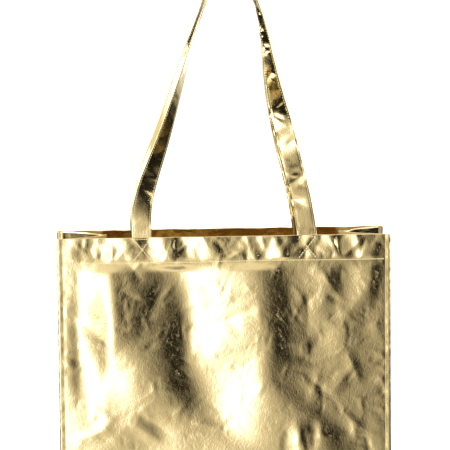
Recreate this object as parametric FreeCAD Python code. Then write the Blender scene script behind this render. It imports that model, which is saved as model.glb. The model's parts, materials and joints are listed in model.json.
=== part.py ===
"""Gold laminated gift bag: five sewn panels, two strap handles, a base board and the sewing threads.

Millimetres, +Z up. The origin is the middle of the underside, on the surface that the bag stands on.
+X runs along the width, and -Y is the front. The bag stands on its open base, and the mouth is nearly
closed, with both side gussets tucked in along their middle crease.
"""

import FreeCAD
import Part

import math
import os

from FreeCAD import Vector

# Driving dimensions.
panel_width = 400.0      # over both side seams
panel_height = 320.0     # cut height of the front and back panels, bottom seam to top fold
base_depth = 120.0       # outside, front to back, at the base
mouth_depth = 54.0       # outside, front to back, at the top edge as the bag stands
fabric = 0.6             # film on non-woven cloth
hem = 30.0               # top hem, folded inside
hem_end_gap = 9.5        # the hem's inner layer stops this far from the panel's side edge
seam_allowance = 6.5     # panel edge to the line of side seam stitches
seam_gap = 0.3           # clear space at the bottom folds, where the panels turn
layer_gap = 0.1          # clear space between a panel and the gusset edge sewn behind it

gusset_fold_rise = 55.0  # height at which the corner creases meet the gusset's middle crease

strap_width = 24.0
strap_thick = 1.2        # four layers of the cloth, folded and sewn flat
strap_spacing = 198.0    # between the middles of a handle's two ends
strap_rise = 331.0       # top of the handle above the top edge
strap_end_gap = 1.5      # sewn end of the strap to the hem's stitches
strap_apex_gap = 2.0     # clear space between the two handles where they meet
front_apex_shift = 9.0   # the hanging point lies a little to the right
back_apex_shift = 4.0
strap_start = 1.5        # free part of the strap starts this far above the top edge
strap_straight = 25.0    # height over which the strap turns upright towards its sewn end

board_thick = 1.4
board_side_gap = 3.2     # base board to front and back panels
board_end_gap = 8.0      # base board to the side seams

thread_width = 0.6
thread_proud = 0.25
thread_overrun = 0.3     # the gusset's thread is drawn this much deeper, then trimmed to its cloth
box_stitch_inset = 2.0   # cross stitch to the strap's long edges
cross_end_inset = 1.5    # cross stitch to the strap's end
box_stitch_drop = 2.5    # upper line of the cross stitch below the top edge
strap_stitch_inset = 2.2 # edge stitching to the strap's edge

STRAP_STATIONS = 45      # rungs of a handle's loft

# Worked out from the driving dimensions.
lean = math.asin((base_depth - mouth_depth) / 2 / panel_height)
fold_y = base_depth / 2 - fabric / 2      # middle of the panel's thickness at its bottom fold
fold_z = fabric + seam_gap
seam_x = panel_width / 2 - seam_allowance
hem_inner = fabric * 1.5                  # inner face of the hem, from the panel's middle plane
strap_middle = hem_inner + strap_thick / 2
strap_end = hem - strap_end_gap           # length of strap sewn inside the hem
gusset_middle = fabric + layer_gap        # middle of the gusset's edge, behind the panel

# A handle's line from its left end over the top to its right end, as shares of half the spacing
# and of the rise. The top two fifths draw in to the point that the bag hangs from.
LEFT_LEG = [(-1.0, 0.0), (-1.0, 0.085), (-0.80, 0.30), (-0.44, 0.64), (-0.20, 0.85)]
RIGHT_LEG = [(1.0, 0.0), (0.955, 0.085), (0.785, 0.30), (0.53, 0.64), (0.37, 0.85)]
ARCH = [(0.145, 0.945), (0.075, 0.984)]   # share of half the spacing each side of the top point
TWIST_START = {"left": 0.05, "right": 0.28}


def leaned(shape):
    """The shape, drawn upright over the front bottom fold, tipped back by the panel's lean."""
    tipped = shape.copy()
    tipped.rotate(Vector(0, -fold_y, fold_z), Vector(1, 0, 0), -math.degrees(lean))
    return tipped


def panel_point(x, inward, up):
    """A point of the leaning front panel, from its middle plane and its bottom fold."""
    y = -fold_y + inward * math.cos(lean) + up * math.sin(lean)
    z = fold_z - inward * math.sin(lean) + up * math.cos(lean)
    return Vector(x, y, z)


def to_back(shape):
    return shape.mirror(Vector(0, 0, 0), Vector(0, 1, 0))


def to_left(shape):
    return shape.mirror(Vector(0, 0, 0), Vector(1, 0, 0))


def plate(x0, x1, inward0, inward1, up0, up1):
    """A flat layer parallel to the front panel, still upright."""
    corner = Vector(x0, -fold_y + inward0, fold_z + up0)
    return Part.makeBox(x1 - x0, inward1 - inward0, up1 - up0, corner)


def front_panel():
    """Cloth with its top edge turned inside as a hem of two pressed layers."""
    half = panel_width / 2
    outer = plate(-half, half, -fabric / 2, fabric / 2, 0, panel_height)
    turned = plate(-half + hem_end_gap, half - hem_end_gap, fabric / 2, hem_inner,
                   panel_height - hem, panel_height)
    return leaned(outer.fuse(turned).removeSplitter())


def bottom_panel():
    return Part.makeBox(panel_width, base_depth, fabric, Vector(-panel_width / 2, -base_depth / 2, 0))


def base_board():
    length = 2 * (seam_x - board_end_gap)
    depth = base_depth - 2 * (fabric + board_side_gap)
    return Part.makeBox(length, depth, board_thick, Vector(-length / 2, -depth / 2, fabric))


def band_section(points, thick, z):
    """The corners of a ring round a bent line of the given thickness, mitred at its corners."""
    sides = []
    for sign in (1, -1):
        side = []
        for i, (x, y) in enumerate(points):
            before = points[max(i - 1, 0)]
            after = points[min(i + 1, len(points) - 1)]
            a = unit(x - before[0], y - before[1]) if i else None
            b = unit(after[0] - x, after[1] - y) if i < len(points) - 1 else None
            a, b = a or b, b or a
            normal = unit(-(a[1] + b[1]), a[0] + b[0])
            reach = thick / 2 / (normal[0] * -a[1] + normal[1] * a[0])
            side.append(Vector(x + sign * reach * normal[0], y + sign * reach * normal[1], z))
        sides.append(side)
    return sides[0] + sides[1][::-1]


def facet(corners):
    return Part.Face(Part.makePolygon(corners + corners[:1]))


def rises_to_middle(i, j, count):
    """Whether the step from corner i to corner j of a strip's outline goes towards the strip's middle."""
    def off_middle(corner):
        return abs(min(corner, count - 1 - corner) - (count / 2 - 1) / 2)
    return off_middle(j) <= off_middle(i)


def leans_right(i, j, count):
    """Splits each quad from its left corner, so that a strip laid on another splits just as it does."""
    return i < count // 2


def skin(rings, split=None):
    """A solid through rings of corners, with flat triangles between neighbouring rings.

    Each ring is a strip's outline: its first half runs along one side and its second half comes back.
    """
    facets = []
    count = len(rings[0])
    for low, high in zip(rings, rings[1:]):
        for i in range(count):
            j = (i + 1) % count
            a, b = (i, j) if (split or rises_to_middle)(i, j, count) else (j, i)
            facets.append(facet([low[a], low[b], high[b]]))
            facets.append(facet([low[a], high[b], high[a]]))
    for ring in (rings[0], rings[-1]):
        for i in range(len(ring) // 2 - 1):
            facets.append(facet([ring[i], ring[i + 1], ring[-2 - i], ring[-1 - i]]))
    shell = Part.Shell(facets)
    shell.sewShape()
    solid = Part.Solid(shell)
    if solid.Volume < 0:
        solid.reverse()
    return solid


def unit(x, y):
    size = math.hypot(x, y)
    return x / size, y / size


def gusset_line(up):
    """The right gusset seen from above at a height along the seam, and that height's z.

    The cloth is as wide as the base is deep, so what the seams' distance leaves over is tucked in.
    """
    edge = panel_point(0, gusset_middle, up)
    half_depth = -edge.y
    start = panel_point(0, gusset_middle, gusset_start())
    tuck = math.sqrt(max(start.y ** 2 - half_depth ** 2, 0.0))
    crease = (seam_x - tuck, 0.0)
    flange = panel_width / 2
    line = [(flange, -half_depth), (seam_x, -half_depth), crease, (seam_x, half_depth),
            (flange, half_depth)]
    return line, edge.z


def gusset_start():
    """Height along the seam at which the gusset's cloth stands clear of its turned bottom edge."""
    return fabric + layer_gap


def right_gusset():
    """One sheet: both sewn edges, the two halves either side of the crease, and the bottom edge."""
    rings = []
    for up in (gusset_start(), gusset_fold_rise, panel_height - layer_gap):
        line, z = gusset_line(up)
        rings.append(band_section(line, fabric, z))
    walls = skin(rings)
    line, z = gusset_line(gusset_start())
    half_depth = line[-1][1] + fabric / 2
    floor_z = fabric
    edge = Part.makeBox(panel_width / 2 - seam_x + fabric / 2, 2 * half_depth, z - floor_z,
                        Vector(seam_x - fabric / 2, -half_depth, floor_z))
    return walls.fuse(edge).removeSplitter()


def strap_points(apex_shift):
    """The handle's line in its own plane: (x, rise) from the left end to the right end."""
    half = strap_spacing / 2
    left = [(share * half, rise * strap_rise) for share, rise in LEFT_LEG]
    right = [(share * half, rise * strap_rise) for share, rise in RIGHT_LEG]
    rising = [(apex_shift - share * half, rise * strap_rise) for share, rise in ARCH]
    falling = [(apex_shift + share * half, rise * strap_rise) for share, rise in ARCH]
    return left + rising + [(apex_shift, strap_rise)] + falling[::-1] + right[::-1]


def strap_plane_y(rise):
    """How far back the handle's line stands at a height above the top edge."""
    root = panel_point(0, strap_middle, panel_height).y
    apex = -(strap_apex_gap + strap_width) / 2
    return root + (apex - root) * rise / strap_rise


def straightened(along, rise):
    """The strap's direction, turned upright towards its sewn end."""
    upright = Vector(0, 0, math.copysign(1, along.z))
    share = min(1.0, rise / strap_straight)
    return (upright * (1 - share) + along * share).normalize()


def strap_frames(apex_shift):
    """Middle, width direction and face direction of the handle at each rung of its loft."""
    top = panel_point(0, 0, panel_height).z
    points = [Vector(x, strap_plane_y(rise), top + max(rise, strap_start))
              for x, rise in strap_points(apex_shift)]
    curve = Part.BSplineCurve()
    curve.interpolate(points)
    edge = curve.toShape()
    across = Vector(0, 1, 0)
    apex_at = edge.getParameterByLength(0)
    highest = -1e9
    frames = []
    lengths = [edge.Length * i / (STRAP_STATIONS - 1) for i in range(STRAP_STATIONS)]
    for length in lengths:
        at = edge.getParameterByLength(length)
        middle = edge.valueAt(at)
        if middle.z > highest:
            highest, apex_at = middle.z, length
        frames.append((length, middle, straightened(edge.tangentAt(at), middle.z - points[0].z)))
    turned = []
    for length, middle, along in frames:
        if length <= apex_at:
            share, start = length / apex_at, TWIST_START["left"]
        else:
            share, start = (edge.Length - length) / (edge.Length - apex_at), TWIST_START["right"]
        eased = max(0.0, (share - start) / (1 - start))
        twist = math.pi / 2 * math.sin(math.pi / 2 * eased) ** 0.9
        outward = across.cross(along).normalize() * -1
        side = (along.cross(outward)).normalize()
        width = outward * math.cos(twist) + side * math.sin(twist)
        turned.append((middle, width, along.cross(width).normalize()))
    return turned


def strap_stitch_lines():
    """Both edges of each line of edge stitching, measured across the strap from its middle."""
    line = strap_width / 2 - strap_stitch_inset
    return [[middle - thread_width / 2, middle + thread_width / 2] for middle in (-line, line)]


def ribbon(frames, sides, face0, face1):
    """A solid strip on the handle's rungs, with corners at offsets across it and two off its face."""
    corners = [(side, face0) for side in sides] + [(side, face1) for side in reversed(sides)]
    return skin([[middle + width * side + face * off for side, off in corners]
                 for middle, width, face in frames], leans_right)


def handle(apex_shift):
    """The strap, with edges along its stitch lines, so that stitches lie flush on its twisted faces."""
    half, thick = strap_width / 2, strap_thick / 2
    left_line, right_line = strap_stitch_lines()
    return ribbon(strap_frames(apex_shift), [-half] + left_line + right_line + [half], -thick, thick)


def handle_stitching(apex_shift):
    """Two lines of edge stitching, shown on both faces of the strap."""
    frames = strap_frames(apex_shift)
    thick, proud = strap_thick / 2, strap_thick / 2 + thread_proud
    strips = []
    for sides in strap_stitch_lines():
        strips.append(ribbon(frames, sides, thick, proud))
        strips.append(ribbon(frames, sides, -proud, -thick))
    return Part.makeCompound(strips)


def handle_ends():
    """The two ends of the strap, flat against the hem inside the mouth."""
    ends = []
    for side in (-1, 1):
        middle = side * strap_spacing / 2
        ends.append(leaned(plate(middle - strap_width / 2, middle + strap_width / 2, hem_inner,
                                 hem_inner + strap_thick, panel_height - strap_end, panel_height)))
    return Part.makeCompound(ends)


def face_thread(x0, up0, x1, up1):
    """A straight line of stitches on the front panel's outer face."""
    run, rise = x1 - x0, up1 - up0
    bar = Part.makeBox(math.hypot(run, rise), thread_proud, thread_width,
                       Vector(x0, -fold_y - fabric / 2 - thread_proud, fold_z + up0 - thread_width / 2))
    bar.rotate(Vector(x0, 0, fold_z + up0), Vector(0, 1, 0), -math.degrees(math.atan2(rise, run)))
    return bar


def hem_thread():
    reach = seam_x - thread_width
    return leaned(face_thread(-reach, panel_height - hem, reach, panel_height - hem))


def seam_thread(side):
    x = side * seam_x
    return leaned(face_thread(x, thread_width, x, panel_height - thread_width))


def box_stitch(side):
    """A line of stitches with a cross under it, which holds one end of a handle."""
    half = strap_width / 2 - box_stitch_inset
    middle = side * strap_spacing / 2
    left, right = middle - half, middle + half
    top, low = panel_height - box_stitch_drop, panel_height - strap_end + cross_end_inset
    lines = [(left, top, right, top), (left, low, right, top), (left, top, right, low)]
    bars = [face_thread(*line) for line in lines]
    return leaned(bars[0].multiFuse(bars[1:]).removeSplitter())


def right_gusset_hem_thread():
    """Hem stitches on the outer face of the gusset's two halves, trimmed to its slanting cloth."""
    line, z = gusset_line(panel_height - hem)
    cloth = right_gusset()
    depth = thread_proud + thread_overrun
    outside = fabric / 2 + thread_proud - depth / 2
    bars = []
    for first, last in ((line[1], line[2]), (line[2], line[3])):
        along = unit(last[0] - first[0], last[1] - first[1])
        off = (outside * along[1], -outside * along[0])
        length = math.hypot(last[0] - first[0], last[1] - first[1]) - 2 * thread_width - seam_allowance
        start = seam_allowance if first is line[1] else 2 * thread_width
        bar = Part.makeBox(length, depth, thread_width, Vector(start, -depth / 2, -thread_width / 2))
        bar.rotate(Vector(0, 0, 0), Vector(0, 0, 1), math.degrees(math.atan2(along[1], along[0])))
        bar.translate(Vector(first[0] + off[0], first[1] + off[1], z))
        bars.append(max(bar.cut(cloth).Solids, key=lambda cut: cut.Volume))
    return Part.makeCompound(bars)


def right_bottom_thread():
    """Stitches through the turned bottom edge of the gusset."""
    line, z = gusset_line(gusset_start())
    reach = line[-1][1] - 3 * fabric
    middle = panel_width / 2 - seam_allowance / 2
    return Part.makeBox(thread_width, 2 * reach, thread_proud, Vector(middle, -reach, z))


def front_bottom_thread():
    """Stitches of the bottom seam, inside, between the base board and the panel."""
    reach = seam_x - board_end_gap
    y = -base_depth / 2 + fabric + board_side_gap / 2
    return Part.makeBox(2 * reach, thread_width, thread_proud,
                        Vector(-reach, y - thread_width / 2, fabric))


def build():
    """Every node of the bag, by name."""
    front, gusset = front_panel(), right_gusset()
    ends = handle_ends()
    nodes = {
        "front_panel": front,
        "back_panel": to_back(front),
        "bottom_panel": bottom_panel(),
        "base_board": base_board(),
        "right_gusset": gusset,
        "left_gusset": to_left(gusset),
        "front_handle": handle(front_apex_shift),
        "back_handle": to_back(handle(back_apex_shift)),
        "front_handle_ends": ends,
        "back_handle_ends": to_back(ends),
        "front_handle_stitching": handle_stitching(front_apex_shift),
        "back_handle_stitching": to_back(handle_stitching(back_apex_shift)),
        "front_hem_thread": hem_thread(),
        "back_hem_thread": to_back(hem_thread()),
        "front_bottom_thread": front_bottom_thread(),
        "back_bottom_thread": to_back(front_bottom_thread()),
        "right_bottom_thread": right_bottom_thread(),
        "left_bottom_thread": to_left(right_bottom_thread()),
        "right_gusset_hem_thread": right_gusset_hem_thread(),
        "left_gusset_hem_thread": to_left(right_gusset_hem_thread()),
    }
    for side, name in ((-1, "left"), (1, "right")):
        nodes[f"front_{name}_seam_thread"] = seam_thread(side)
        nodes[f"back_{name}_seam_thread"] = to_back(seam_thread(side))
        nodes[f"front_{name}_box_stitch"] = box_stitch(side)
        nodes[f"back_{name}_box_stitch"] = to_back(box_stitch(side))
    return nodes


def main():
    os.makedirs("parts", exist_ok=True)
    for name, shape in build().items():
        if not shape.isValid() or shape.Volume <= 0:
            raise ValueError(f"{name} is not a valid solid")
        shape.exportStep(os.path.join("parts", name + ".step"))


main()
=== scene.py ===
import json
import math

import bpy
import numpy as np
from bpy.props import FloatProperty, FloatVectorProperty, PointerProperty
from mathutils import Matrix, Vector


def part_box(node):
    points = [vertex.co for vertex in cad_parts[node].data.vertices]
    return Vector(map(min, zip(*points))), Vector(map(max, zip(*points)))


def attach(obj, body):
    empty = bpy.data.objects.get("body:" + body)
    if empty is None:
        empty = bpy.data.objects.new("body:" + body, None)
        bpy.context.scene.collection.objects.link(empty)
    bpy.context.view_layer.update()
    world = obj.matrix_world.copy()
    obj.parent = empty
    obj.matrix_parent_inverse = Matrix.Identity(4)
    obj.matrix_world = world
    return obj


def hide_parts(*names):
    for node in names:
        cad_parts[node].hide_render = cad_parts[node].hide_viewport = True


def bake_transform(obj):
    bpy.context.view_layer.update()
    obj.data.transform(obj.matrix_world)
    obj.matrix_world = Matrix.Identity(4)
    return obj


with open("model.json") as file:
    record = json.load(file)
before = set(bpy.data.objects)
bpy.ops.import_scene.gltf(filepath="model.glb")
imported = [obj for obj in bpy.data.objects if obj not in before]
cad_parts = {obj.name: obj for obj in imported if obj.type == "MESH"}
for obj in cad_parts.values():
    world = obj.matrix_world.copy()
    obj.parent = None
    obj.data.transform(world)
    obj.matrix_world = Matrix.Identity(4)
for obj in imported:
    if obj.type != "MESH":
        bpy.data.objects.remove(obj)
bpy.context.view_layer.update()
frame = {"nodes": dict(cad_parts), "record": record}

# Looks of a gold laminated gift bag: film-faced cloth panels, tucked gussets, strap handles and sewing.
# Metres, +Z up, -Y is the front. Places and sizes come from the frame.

bl_info = {
    "name": "Gold gift bag",
    "version": (1, 0, 0),
    "blender": (4, 5, 0),
    "location": "View3D > Sidebar > Gift bag",
    "description": "Sews the cloth, straps and stitching of a gift bag around its packed frame",
    "category": "Add Mesh",
}

RECORD = frame["record"]
JOINTS = {joint["name"]: joint for joint in RECORD["behaviour"]["joints"]}
SIDES = ("front", "back")


# ---------------------------------------------------------------- sizes and colours

class BagSizes(bpy.types.PropertyGroup):
    film_thickness: FloatProperty(
        name="Cloth thickness", description="Thickness of the laminated cloth",
        default=0.00045, unit="LENGTH")
    strap_width: FloatProperty(
        name="Strap width", description="Width of a handle's strap",
        default=0.024, unit="LENGTH")
    strap_thickness: FloatProperty(
        name="Strap thickness", description="Thickness of a handle's folded strap",
        default=0.0012, unit="LENGTH")
    stitch_length: FloatProperty(
        name="Stitch length", description="Length of one stitch with the gap after it",
        default=0.0031, unit="LENGTH")
    thread_radius: FloatProperty(
        name="Thread radius", description="Half the thickness of the sewing thread",
        default=0.00036, unit="LENGTH")
    grid_step: FloatProperty(
        name="Grid step", description="Distance between neighbouring points of the cloth",
        default=0.0019, unit="LENGTH")
    swell: FloatProperty(
        name="Swell",
        description="Scale of the panels' broad tilted areas, 1 is a bag that was folded flat once",
        default=1.0)
    crinkle: FloatProperty(
        name="Crinkle", description="Scale of the small creases in the film", default=1.0)


class BagColours(bpy.types.PropertyGroup):
    film: FloatVectorProperty(
        name="Film", description="Colour that the metallic film reflects", subtype="COLOR",
        size=3, min=0, max=1, default=(0.86, 0.68, 0.33))
    cloth_back: FloatVectorProperty(
        name="Cloth back", description="Non-woven cloth behind the film", subtype="COLOR",
        size=3, min=0, max=1, default=(0.72, 0.52, 0.20))
    thread: FloatVectorProperty(
        name="Thread", description="Sewing thread", subtype="COLOR",
        size=3, min=0, max=1, default=(0.86, 0.74, 0.36))
    board: FloatVectorProperty(
        name="Board", description="Grey board in the base", subtype="COLOR",
        size=3, min=0, max=1, default=(0.62, 0.59, 0.53))
    floor: FloatVectorProperty(
        name="Floor", description="Studio floor", subtype="COLOR",
        size=3, min=0, max=1, default=(0.92, 0.92, 0.91))


class Measures:
    """Lengths and places of the bag, read from the frame."""

    def __init__(self):
        low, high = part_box("bottom_panel")
        self.half_width, self.base_half, self.cloth = high[0], high[1], high[2]
        opening = JOINTS["front_panel_open"]
        self.fold = np.array(opening["pos_m"])
        self.lean = math.radians(opening["range_deg"][1])
        _, panel_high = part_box("front_panel")
        self.height = (panel_high[2] - self.fold[2]) / math.cos(self.lean)
        seam_low, seam_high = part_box("front_right_seam_thread")
        self.seam_x = (seam_low[0] + seam_high[0]) / 2
        hem_low, hem_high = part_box("front_hem_thread")
        self.hem_up = ((hem_low[2] + hem_high[2]) / 2 - self.fold[2]) / math.cos(self.lean)
        ends_low, ends_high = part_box("front_handle_ends")
        self.strap_end_up = (ends_low[2] - self.fold[2]) / math.cos(self.lean)
        self.strap_reach = ends_high[0]
        self.handle_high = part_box("front_handle")[1]
        self.back_handle_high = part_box("back_handle")[1]
        self.hinge = np.array(JOINTS["front_handle_swing"]["pos_m"])
        box_low, box_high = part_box("front_right_box_stitch")
        self.box_x = (box_low[0], box_high[0])
        self.box_up = tuple((z - self.fold[2]) / math.cos(self.lean) for z in (box_low[2], box_high[2]))
        gusset_low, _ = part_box("right_gusset")
        self.crease_top_x = gusset_low[0] + self.cloth
        self.gusset_edge = self.cloth * 1.15   # middle of the gusset's sewn edge, behind the panel


BAG = Measures()
GUSSET_FOLD_RISE = 0.055     # height at which the corner creases meet the middle crease


def sizes():
    return bpy.context.scene.gift_bag_sizes


def colours():
    return bpy.context.scene.gift_bag_colours


# ---------------------------------------------------------------- numbers on arrays

def ease(t):
    """Zero below 0, one above 1, and 3t^2 - 2t^3 between."""
    t = np.clip(t, 0.0, 1.0)
    return t * t * (3 - 2 * t)


def noise(x, y, cell, seed):
    """Gradient noise, about -1 to 1: slopes at the corners of square cells, blended across each cell."""
    rng = np.random.default_rng(seed)
    turn = rng.uniform(0, 2 * math.pi, (128, 128))
    u, v = x / cell, y / cell
    i, j = np.floor(u).astype(int), np.floor(v).astype(int)
    fu, fv = u - i, v - j
    wu = fu ** 3 * (fu * (fu * 6 - 15) + 10)
    wv = fv ** 3 * (fv * (fv * 6 - 15) + 10)

    def corner(di, dj):
        angle = turn[(i + di) % 128, (j + dj) % 128]
        return np.cos(angle) * (fu - di) + np.sin(angle) * (fv - dj)

    low = corner(0, 0) * (1 - wu) + corner(1, 0) * wu
    high = corner(0, 1) * (1 - wu) + corner(1, 1) * wu
    return 1.6 * (low * (1 - wv) + high * wv)


def roof(across, width, sharp):
    """A ridge of unit slope: rises in a straight line to a crest rounded over `sharp`, level beyond."""
    crest = np.sqrt(across ** 2 + sharp ** 2)
    return np.maximum(width - crest, 0.0) ** 1.5 / np.sqrt(width)


def crease_field(x, y, seed, count, length, slope, area, slant=(0.0, math.pi)):
    """Sum of `count` short ridges and valleys at random places in area, each fading towards its ends."""
    rng = np.random.default_rng(seed)
    total = np.zeros_like(x)
    (x0, y0), (x1, y1) = area
    for _ in range(count):
        cx, cy = rng.uniform(x0, x1), rng.uniform(y0, y1)
        angle = rng.uniform(*slant)
        half = length * rng.uniform(0.5, 1.6)
        width = half * rng.uniform(0.22, 0.5)
        sign = rng.choice((-1.0, 1.0))
        steep = slope * rng.uniform(0.4, 1.3)
        near = (np.abs(x - cx) < half) & (np.abs(y - cy) < half)
        dx, dy = x[near] - cx, y[near] - cy
        along = dx * math.cos(angle) + dy * math.sin(angle)
        across = -dx * math.sin(angle) + dy * math.cos(angle)
        fade = np.maximum(1 - (along / half) ** 2, 0.0) ** 2
        total[near] += sign * steep * fade * roof(across, width, width * 0.06)
    return total


def tilted_areas(x, y, shapes):
    """Sum of soft-edged areas, each tilting the surface: -(tilt . d) exp(-(a^2 + b^2)^2).

    Each is (x, y, half length, half width, turn in degrees, tilt to +x, tilt upwards), tilts in radians.
    """
    total = np.zeros_like(x)
    for cx, cy, half_a, half_b, turn, tilt_x, tilt_up in shapes:
        angle = math.radians(turn)
        dx, dy = x - cx, y - cy
        a = (dx * math.cos(angle) + dy * math.sin(angle)) / half_a
        b = (-dx * math.sin(angle) + dy * math.cos(angle)) / half_b
        total -= (tilt_x * dx + tilt_up * dy) * np.exp(-(a ** 2 + b ** 2) ** 2)
    return total


def natural_spline(points, count):
    """`count` even steps along a natural cubic spline through the points, by chord length."""
    points = np.asarray(points, float)
    step = np.linalg.norm(np.diff(points, axis=0), axis=1)
    knots = np.concatenate(([0.0], np.cumsum(step)))
    n = len(points)
    system = np.eye(n)
    right = np.zeros_like(points)
    inner = np.arange(1, n - 1)
    system[inner, inner - 1] = step[:-1]
    system[inner, inner] = 2 * (step[:-1] + step[1:])
    system[inner, inner + 1] = step[1:]
    slope = np.diff(points, axis=0) / step[:, None]
    right[1:-1] = 6 * np.diff(slope, axis=0)
    bend = np.linalg.solve(system, right)
    at = np.linspace(0, knots[-1], 4001)
    span = np.clip(np.searchsorted(knots, at, side="right") - 1, 0, n - 2)
    h = step[span][:, None]
    a = (knots[span + 1] - at)[:, None] / h
    b = 1 - a
    line = (a * points[span] + b * points[span + 1]
            + ((a ** 3 - a) * bend[span] + (b ** 3 - b) * bend[span + 1]) * h ** 2 / 6)
    return even_steps(line, count)


def even_steps(line, count):
    """The line again, as `count` points at equal distances."""
    run = np.concatenate(([0.0], np.cumsum(np.linalg.norm(np.diff(line, axis=0), axis=1))))
    at = np.linspace(0, run[-1], count)
    return np.stack([np.interp(at, run, line[:, k]) for k in range(3)], axis=1)


def unit(vectors):
    return vectors / np.linalg.norm(vectors, axis=-1, keepdims=True)


# ---------------------------------------------------------------- meshes

def mesh_object(name, points, loops, starts, totals):
    """A smooth-shaded object at the origin from flat arrays of points, corner indices and faces."""
    mesh = bpy.data.meshes.new(name)
    mesh.vertices.add(len(points))
    mesh.vertices.foreach_set("co", np.ascontiguousarray(points, np.float32).ravel())
    mesh.loops.add(len(loops))
    mesh.loops.foreach_set("vertex_index", np.ascontiguousarray(loops, np.int32))
    mesh.polygons.add(len(starts))
    mesh.polygons.foreach_set("loop_start", np.ascontiguousarray(starts, np.int32))
    mesh.polygons.foreach_set("loop_total", np.ascontiguousarray(totals, np.int32))
    mesh.update(calc_edges=True)
    mesh.validate()
    mesh.shade_smooth()
    piece = bpy.data.objects.new(name, mesh)
    bpy.context.scene.collection.objects.link(piece)
    return piece


def grid_object(name, points, wrap=False, flip=False, caps=False):
    """A sheet of four-sided faces over a grid of points; wrap joins its last column to its first."""
    rows, columns = points.shape[:2]
    index = np.arange(rows * columns).reshape(rows, columns)
    right = np.roll(index, -1, axis=1) if wrap else index[:, 1:]
    left = index if wrap else index[:, :-1]
    faces = np.stack([left[:-1], right[:-1], right[1:], left[1:]], axis=-1).reshape(-1, 4)
    if flip:
        faces = faces[:, ::-1]
    loops = faces.ravel()
    totals = np.full(len(faces), 4)
    if caps:
        first, last = index[0][::-1], index[-1]
        if flip:
            first, last = first[::-1], last[::-1]
        loops = np.concatenate((loops, first, last))
        totals = np.concatenate((totals, (columns, columns)))
    starts = np.concatenate(([0], np.cumsum(totals)[:-1]))
    return mesh_object(name, points.reshape(-1, 3), loops, starts, totals)


def stitch_template(sides=6, rings=3):
    """Unit stitch: a round thread along its first axis, arched on its third, closed at both ends."""
    along = (np.arange(rings) + 0.5) / rings * 2 - 1
    turn = np.arange(sides) / sides * 2 * math.pi
    thick = np.sqrt(1 - along ** 4)
    arch = 1 - 1.3 * along ** 2
    ring_points = np.stack([
        np.repeat(along, sides) * 0.9,
        (thick[:, None] * np.cos(turn)).ravel(),
        (thick[:, None] * np.sin(turn) + arch[:, None]).ravel()], axis=1)
    tips = np.array([[-1.0, 0.0, -0.8], [1.0, 0.0, -0.8]])
    faces = []
    for r in range(rings - 1):
        for k in range(sides):
            nxt = (k + 1) % sides
            faces.append((r * sides + k, r * sides + nxt, (r + 1) * sides + nxt, (r + 1) * sides + k))
    first_tip, last_tip = rings * sides, rings * sides + 1
    last = (rings - 1) * sides
    for k in range(sides):
        nxt = (k + 1) % sides
        faces.append((first_tip, nxt, k))
        faces.append((last_tip, last + k, last + nxt))
    return np.concatenate((ring_points, tips)), faces


def stitch_object(name, starts, ends, normals, radius):
    """One piece of many stitches, each laid from its start to its end, proud along its normal."""
    template, faces = stitch_template()
    run = ends - starts
    along = unit(run)
    side = unit(np.cross(normals, along))
    normal = np.cross(along, side)
    middle = (starts + ends) / 2
    half = np.linalg.norm(run, axis=1)[:, None, None] / 2
    t = template[None]
    points = (middle[:, None] + along[:, None] * t[..., 0:1] * half
              + side[:, None] * t[..., 1:2] * radius + normal[:, None] * t[..., 2:3] * radius)
    count = len(starts)
    flat = np.concatenate([np.array(f) for f in faces])
    totals = np.array([len(f) for f in faces])
    loops = (flat[None] + np.arange(count)[:, None] * len(template)).ravel()
    totals = np.tile(totals, count)
    first = np.concatenate(([0], np.cumsum(totals)[:-1]))
    return mesh_object(name, points.reshape(-1, 3), loops, first, totals)


def stitch_line(line, normals, length, seed, gap=0.16, sway=0.00012):
    """Splits a line with its normals into stitches of about `length`; returns starts, ends and normals."""
    run = np.concatenate(([0.0], np.cumsum(np.linalg.norm(np.diff(line, axis=0), axis=1))))
    count = max(2, int(round(run[-1] / length)))
    rng = np.random.default_rng(seed)
    marks = np.linspace(0, run[-1], count + 1)
    marks[1:-1] += rng.uniform(-0.07, 0.07, count - 1) * length
    begin, finish = marks[:-1], marks[1:] - gap * np.diff(marks)

    def at(s, values):
        return np.stack([np.interp(s, run, values[:, k]) for k in range(3)], axis=1)

    up = unit(at((begin + finish) / 2, normals))
    a, b = at(begin, line), at(finish, line)
    aside = unit(np.cross(up, b - a)) * rng.uniform(-sway, sway, (count, 1))
    return a + aside, b - aside, up


def sewn(name, lines, body, node, radius=None, length=None, seed=1):
    """A piece of stitches along (line, normals) pairs, riding on a body in place of a CAD node."""
    radius = radius or sizes().thread_radius
    length = length or sizes().stitch_length
    parts = [stitch_line(line, normals, length, seed + k) for k, (line, normals) in enumerate(lines)]
    starts, ends, up = (np.concatenate([part[k] for part in parts]) for k in range(3))
    piece = stitch_object(name, starts, ends, up, radius)
    piece.data.materials.append(bpy.data.materials["sewing_thread"])
    if body:
        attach(piece, body)
    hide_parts(*([node] if isinstance(node, str) else node))
    return piece


# ---------------------------------------------------------------- the cloth's shape

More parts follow.
